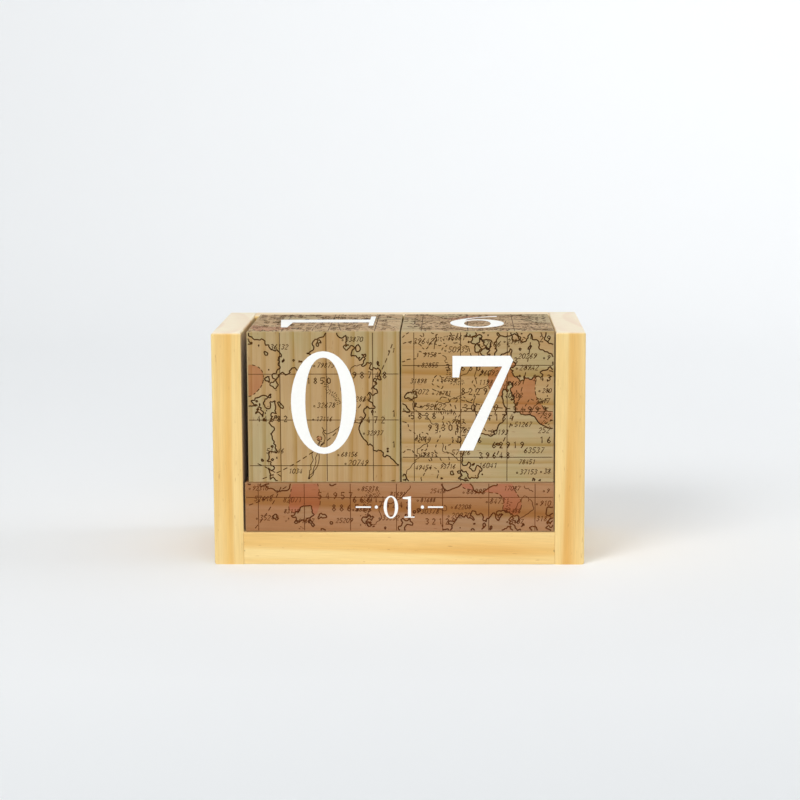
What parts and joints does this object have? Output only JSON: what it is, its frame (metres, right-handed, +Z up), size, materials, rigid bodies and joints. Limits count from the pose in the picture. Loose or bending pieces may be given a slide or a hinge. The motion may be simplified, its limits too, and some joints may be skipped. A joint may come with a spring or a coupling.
{
  "type": "perpetual block desk calendar",
  "caption": "Open pine tray holding loose number cubes side by side on loose square month bars; the cubes lift out and the bars draw out of the open front to be turned.",
  "frame": {"origin": "middle of the tray's footprint, on the surface that the tray stands on", "axes": "+X to the right as seen from the front, +Y to the back, +Z up"},
  "size_m": [0.1222, 0.0616, 0.0776],
  "materials": {
    "tray_pine": "sanded bare pine",
    "printed_cube": "pine printed all over, matt",
    "printed_bar": "pine printed all over, matt",
    "numeral_ink": "white ink, matt",
    "chart_ink": "dark brown ink, matt",
    "pin_steel": "drawn wire"
  },
  "bodies": {
    "tray": {"left_side_panel": "tray_pine", "right_side_panel": "tray_pine", "base_board": "tray_pine", "back_board": "tray_pine", "left_side_pins": "pin_steel", "right_side_pins": "pin_steel", "back_board_pins": "pin_steel"},
    "left_cube": {"left_day_cube": "printed_cube"},
    "right_cube": {"right_day_cube": "printed_cube"},
    "back_bar": {"back_month_bar": "printed_bar"},
    "middle_bar": {"middle_month_bar": "printed_bar"},
    "front_bar": {"front_month_bar": "printed_bar"}
  },
  "joints": [
    {"name": "left_cube_lift", "type": "slide", "parent": "tray", "child": "left_cube", "axis": [0, 0, 1], "range_m": [0, 0.06]},
    {"name": "right_cube_lift", "type": "slide", "parent": "tray", "child": "right_cube", "axis": [0, 0, 1], "range_m": [0, 0.06]},
    {"name": "back_bar_draw", "type": "slide", "parent": "tray", "child": "back_bar", "axis": [0, -1, 0], "range_m": [0, 0.06]},
    {"name": "middle_bar_draw", "type": "slide", "parent": "back_bar", "child": "middle_bar", "axis": [0, -1, 0], "range_m": [0, 0.04]},
    {"name": "front_bar_draw", "type": "slide", "parent": "middle_bar", "child": "front_bar", "axis": [0, -1, 0], "range_m": [0, 0.025]}
  ]
}
